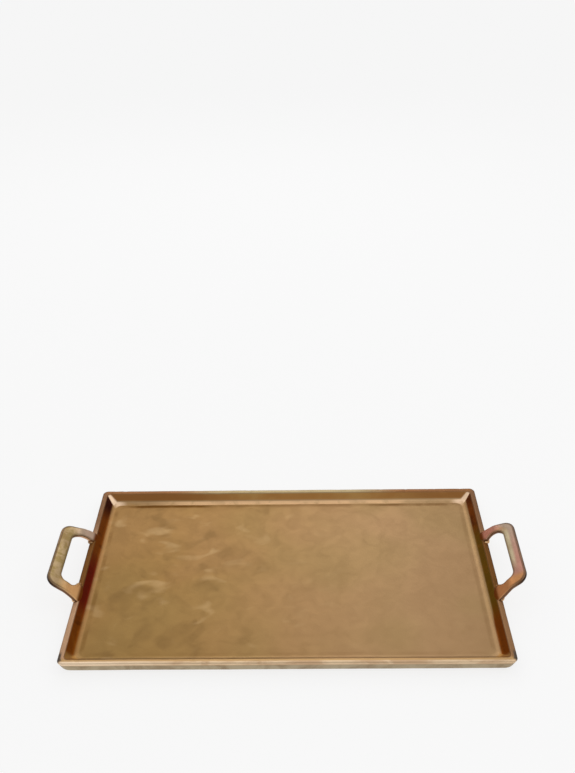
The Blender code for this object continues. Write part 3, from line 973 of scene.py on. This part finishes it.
def half_bar_edges(leg, opposite_leg):
    """Matching points on one half's outer and inner edges, from the foot to mid-grip.

    Splay leans the whole foot outwards, flare is the web between its inner edge and the rim,
    and reach lengthens the handle at this leg's corner.
    """
    width, splay, flare = LEG_WIDTHS[leg], FOOT_SPLAYS[leg], FOOT_FLARES[leg]
    mid_reach = (REACHES[leg] + REACHES[opposite_leg]) / 2
    grip = TIP - GRIP_WIDTH
    foot = -ROOT_DEPTH
    outer = rounded_path([
        (foot, half_span(foot), 0.0),
        (TIP, half_span(TIP), OUTER_CORNER_RADIUS),
        (TIP, 0.0, 0.0),
    ])
    inner = rounded_path([
        (foot, half_span(foot) - width, 0.0),
        (grip, half_span(grip) - width, INNER_CORNER_RADIUS),
        (grip, 0.0, 0.0),
    ])
    outer = even_points(outer, BAR_STATIONS, OUTER_CORNER_RADIUS, TIP)
    inner = even_points(inner, BAR_STATIONS, INNER_CORNER_RADIUS, grip)

    def lean(u):
        return splay * smoothstep(SPLAY_END, RIM_OUTER_AT - SPLAY_BELOW_RIM, u)

    def web(u):
        gone = min(max((u - FLARE_STARTS) / FLARE_LENGTH, 0.0), 1.0)
        return flare * (1.0 - gone) ** 2

    def reach(u, v):
        full = mid_reach + (REACHES[leg] - mid_reach) * v / HALF_SPAN_AT_TIP
        return full * smoothstep(RIM_OUTER_AT, TIP, u)

    outer = [(u + reach(u, v), v + lean(u)) for u, v in outer]
    inner = [(u + reach(u, v), v + lean(u) - web(u)) for u, v in inner]
    return list(zip(outer, inner))


def bar_edges(end_name, turn):
    """Matching points on the whole bar's edges, from one foot round to the other."""
    legs = [end_name + "_front", end_name + "_rear"]
    if turn == 0.0:
        legs.reverse()
    half = half_bar_edges(legs[0], legs[1])
    other_half = half_bar_edges(legs[1], legs[0])
    mirrored = [((ou, -ov), (iu, -iv)) for (ou, ov), (iu, iv) in reversed(other_half[:-1])]
    return half + mirrored


def bar_section(outer, outer_normal, inner, inner_normal):
    """The bar's rounded section at one station, as (u, v, w, edge, side, outward) points."""
    radius = BAR_EDGE_RADIUS
    half = BAR_THICKNESS / 2
    points = []

    def corner(place, normal, start, end, outward):
        for k in range(BAR_EDGE_STEPS + 1):
            turn = math.radians(start + (end - start) * k / BAR_EDGE_STEPS)
            reach = radius * (math.cos(turn) - 1.0)
            w = math.copysign(half - radius, math.sin(turn)) + radius * math.sin(turn)
            facing = abs(math.cos(turn))
            points.append((place[0] + normal[0] * reach, place[1] + normal[1] * reach, w,
                           window(0.35, 0.75, 0.3, facing), smoothstep(0.75, 1.0, facing),
                           outward))

    def face(start, end, w, crown):
        for k in range(1, BAR_FACE_STEPS):
            share = k / BAR_FACE_STEPS
            bulge = crown * (1.0 - (2.0 * share - 1.0) ** 2)
            points.append((blended(start[0], end[0], share), blended(start[1], end[1], share),
                           w + bulge, 0.0, 0.0, share if crown else 1.0 - share))

    def inset(place, normal):
        return place[0] - normal[0] * radius, place[1] - normal[1] * radius

    # The arcs stop just short of level, so that the sine's sign tells upper from lower
    hair = 0.01
    corner(outer, outer_normal, 90.0, hair, 1.0)
    corner(outer, outer_normal, -hair, -90.0, 1.0)
    face(inset(outer, outer_normal), inset(inner, inner_normal), -half, 0.0)
    corner(inner, inner_normal, -90.0, -hair, 0.0)
    corner(inner, inner_normal, hair, 90.0, 0.0)
    face(inset(inner, inner_normal), inset(outer, outer_normal), half, BAR_CROWN)
    return points


def make_handle(end_name, turn, material):
    """A bent bar swept along its U, sunk a little into the wall that it grows out of."""
    stations = bar_edges(end_name, turn)
    outer = [pair[0] for pair in stations]
    inner = [pair[1] for pair in stations]
    outer_normals = edge_normals(outer, 1.0)
    inner_normals = edge_normals(inner, -1.0)
    rotation = Matrix.Rotation(turn, 4, "Z")
    dark_full, dark_start = DARK_TIP_LENGTH
    points = []
    zones = {key: [] for key in ("root", "leg", "side", "edge", "outward", "shaded_near_corner")}
    for place in zip(outer, outer_normals, inner, inner_normals):
        for u, v, w, edge, side, outward in bar_section(*place):
            sink = ROOT_SINK * (1.0 - smoothstep(-ROOT_DEPTH, SINK_END, u)) - BAR_RAISE
            x, z = bend_point(u, w - sink)
            point = rotation @ Vector((x, v, z))
            points.append(point + Vector((0.0, 0.0, 0.5 * cast_unevenness(point))))
            near_tip = smoothstep(TIP - dark_start, TIP - dark_full, u)
            zones["root"].append(1.0 - smoothstep(0.0, ROOT_ZONE_END, u))
            zones["leg"].append(1.0 - smoothstep(*LEG_ZONE_END, u))
            zones["side"].append(side)
            zones["edge"].append(edge)
            zones["outward"].append(outward)
            zones["shaded_near_corner"].append(near_tip * smoothstep(*DARK_TIP_ACROSS, point.y))
    faces = capped_faces(len(points) // len(stations), len(stations))
    return add_piece("handle_bar_" + end_name, points, faces, ["handle_" + end_name],
                     material, zones)


# ---------------------------------------------------------------- filler beads

def make_bead(end_name, leg_name, turn, material):
    """A run of filler round one leg's root: out along one side, across under the leg and back
    along the other side."""
    leg_side = -1.0 if leg_name == "front" else 1.0
    side = leg_side if turn == 0.0 else -leg_side
    place_name = end_name + "_" + leg_name
    outside = half_span(RIM_OUTER_AT) + FOOT_SPLAYS[place_name]
    inside = outside - LEG_WIDTHS[place_name] - FOOT_FLARES[place_name]
    seat = HALF_LENGTH + BEAD_OUT
    end = HALF_LENGTH - RIM_WIDTH + BEAD_END
    path = densified(rounded_path([
        (end, outside, 0.0),
        (seat, outside, BEAD_BEND_RADIUS),
        (seat, inside, BEAD_BEND_RADIUS),
        (end, inside, 0.0),
    ]), BEAD_SPACING)
    path = resampled(path, round(len(path) * BEAD_REFINEMENT))
    rotation = Matrix.Rotation(turn, 4, "Z")
    points = []
    for i, ((x, y), (nx, ny)) in enumerate(zip(path, edge_normals(path, 1.0))):
        share = i / (len(path) - 1)
        from_middle = 2.0 * share - 1.0
        taper = math.sqrt(max(0.0, 1.0 - from_middle ** BEAD_BLUNTNESS)) + BEAD_TIP
        ripple = 1.0 + BEAD_RIPPLE * math.sin(len(path) * share * BEAD_RIPPLE_RATE)
        radius = BEAD_RADIUS * taper * ripple
        for k in range(BEAD_SIDES):
            angle = 2 * math.pi * k / BEAD_SIDES
            offset = radius * math.cos(angle)
            point = Vector((x + nx * offset, side * (y + ny * offset),
                            RIM_HEIGHT - BEAD_SUNK + radius * math.sin(angle)))
            points.append(rotation @ point)
    faces = capped_faces(BEAD_SIDES, len(path))
    return add_piece("filler_" + place_name, points, faces, ["braze_bead_" + place_name],
                     material)


# ---------------------------------------------------------------- pads

def make_pad(node, material):
    """A felt disc with a soft edge and a fuzzy skin."""
    low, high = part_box(node)
    centre = (low + high) / 2
    radius = (high.x - low.x) / 2
    profile = densified(rounded_path([
        (0.0, low.z, 0.0),
        (radius, low.z, PAD_SOFT_EDGE),
        (radius, high.z, PAD_SOFT_EDGE),
        (0.0, high.z, 0.0),
    ]), PAD_SPACING)[1:-1]
    points = []
    for reach, z in profile:
        fuzziness = PAD_FUZZ * smoothstep(0.0, radius, reach)
        for k in range(PAD_SIDES):
            angle = 2 * math.pi * k / PAD_SIDES
            out = Vector((math.cos(angle), math.sin(angle), 0.0))
            point = Vector((centre.x, centre.y, z)) + out * reach
            points.append(point + out * noise.noise(point / PAD_FUZZ_LENGTH) * fuzziness)
    faces = capped_faces(PAD_SIDES, len(profile))
    return add_piece("felt_" + node, points, faces, [node], material)


# ---------------------------------------------------------------- studio

def make_stage():
    """A pale seamless floor whose shadows stay faint."""
    size = STAGE_HALF_SIZE
    mesh = bpy.data.meshes.new("studio_floor")
    mesh.from_pydata([(-size, -size, 0), (size, -size, 0), (size, size, 0), (-size, size, 0)],
                     [], [(0, 1, 2, 3)])
    s = Shader(bpy.data.materials.new("studio_floor"))
    glow = s.node("ShaderNodeEmission")
    glow.inputs["Color"].default_value = WHITE
    glow.inputs["Strength"].default_value = STAGE_GLOW
    matte = s.node("ShaderNodeBsdfDiffuse")
    matte.inputs["Color"].default_value = (STAGE_GREY, STAGE_GREY, STAGE_GREY, 1.0)
    both = s.node("ShaderNodeAddShader")
    s.put(both.inputs[0], glow.outputs["Emission"])
    s.put(both.inputs[1], matte.outputs["BSDF"])
    out = s.node("ShaderNodeOutputMaterial")
    s.put(out.inputs["Surface"], both.outputs["Shader"])
    mesh.materials.append(s.owner)
    floor = bpy.data.objects.new("studio_floor", mesh)
    bpy.context.scene.collection.objects.link(floor)


def make_world():
    """A soft studio: bright above and behind the tray, dimmer along the horizon and behind the
    camera."""
    s = Shader(bpy.data.worlds.new("studio"))
    direction = s.node("ShaderNodeSeparateXYZ")
    s.put(direction.inputs["Vector"], s.node("ShaderNodeTexCoord").outputs["Generated"])
    height = s.ramp(direction.outputs["Z"], 0.10, 0.55, 0.34, 0.80)
    depth = s.ramp(direction.outputs["Y"], -0.9, 0.6, 0.75, 1.0)
    mixed = s.node("ShaderNodeMix", data_type="FLOAT")
    s.put(mixed.inputs["Factor"], s.node("ShaderNodeLightPath").outputs["Is Camera Ray"])
    s.put(mixed.inputs["A"], s.times(height, depth))
    mixed.inputs["B"].default_value = BACKDROP_LEVEL
    background = s.node("ShaderNodeBackground")
    background.inputs["Color"].default_value = WHITE
    s.put(background.inputs["Strength"], mixed.outputs["Result"])
    out = s.node("ShaderNodeOutputWorld")
    s.put(out.inputs["Surface"], background.outputs["Background"])
    bpy.context.scene.world = s.owner


def add_softbox(name, place, size, energy):
    """A rectangular lamp aimed at the tray."""
    lamp = bpy.data.lights.new(name, "AREA")
    lamp.shape = "RECTANGLE"
    lamp.size, lamp.size_y = size
    lamp.energy = energy
    obj = bpy.data.objects.new(name, lamp)
    obj.location = place
    obj.rotation_mode = "QUATERNION"
    obj.rotation_quaternion = (-Vector(place)).to_track_quat("-Z", "Y")
    bpy.context.scene.collection.objects.link(obj)


def make_camera():
    """The camera, turned by its pitch, yaw and roll."""
    cos_pitch, sin_pitch = math.cos(CAMERA_PITCH), math.sin(CAMERA_PITCH)
    forward = Vector((math.sin(CAMERA_YAW) * cos_pitch, math.cos(CAMERA_YAW) * cos_pitch,
                      -sin_pitch))
    level = Vector((math.cos(CAMERA_YAW), -math.sin(CAMERA_YAW), 0.0))
    down = forward.cross(level)
    right = math.cos(CAMERA_ROLL) * level + math.sin(CAMERA_ROLL) * down
    up = math.sin(CAMERA_ROLL) * level - math.cos(CAMERA_ROLL) * down
    camera = bpy.data.cameras.new("camera")
    camera.lens = CAMERA_LENS
    obj = bpy.data.objects.new("camera", camera)
    turned = Matrix((right, up, -forward)).transposed().to_4x4()
    obj.matrix_world = Matrix.Translation(CAMERA_PLACE) @ turned
    bpy.context.scene.collection.objects.link(obj)
    bpy.context.scene.camera = obj


def main():
    bpy.context.scene.view_settings.view_transform = "Standard"
    brass, filler, felt = handle_material(), bead_material(), felt_material()
    make_pan()
    for end_name, turn in (("right", 0.0), ("left", math.pi)):
        make_handle(end_name, turn, brass)
        for leg_name in ("front", "rear"):
            make_bead(end_name, leg_name, turn, filler)
            make_pad("pad_" + end_name + "_" + leg_name, felt)
    make_stage()
    make_world()
    add_softbox("key", (-0.1, 1.5, 1.1), (1.2, 0.8), 3.3)
    add_softbox("fill", (0.9, -0.3, 1.3), (1.0, 1.0), 2.0)
    make_camera()


main()
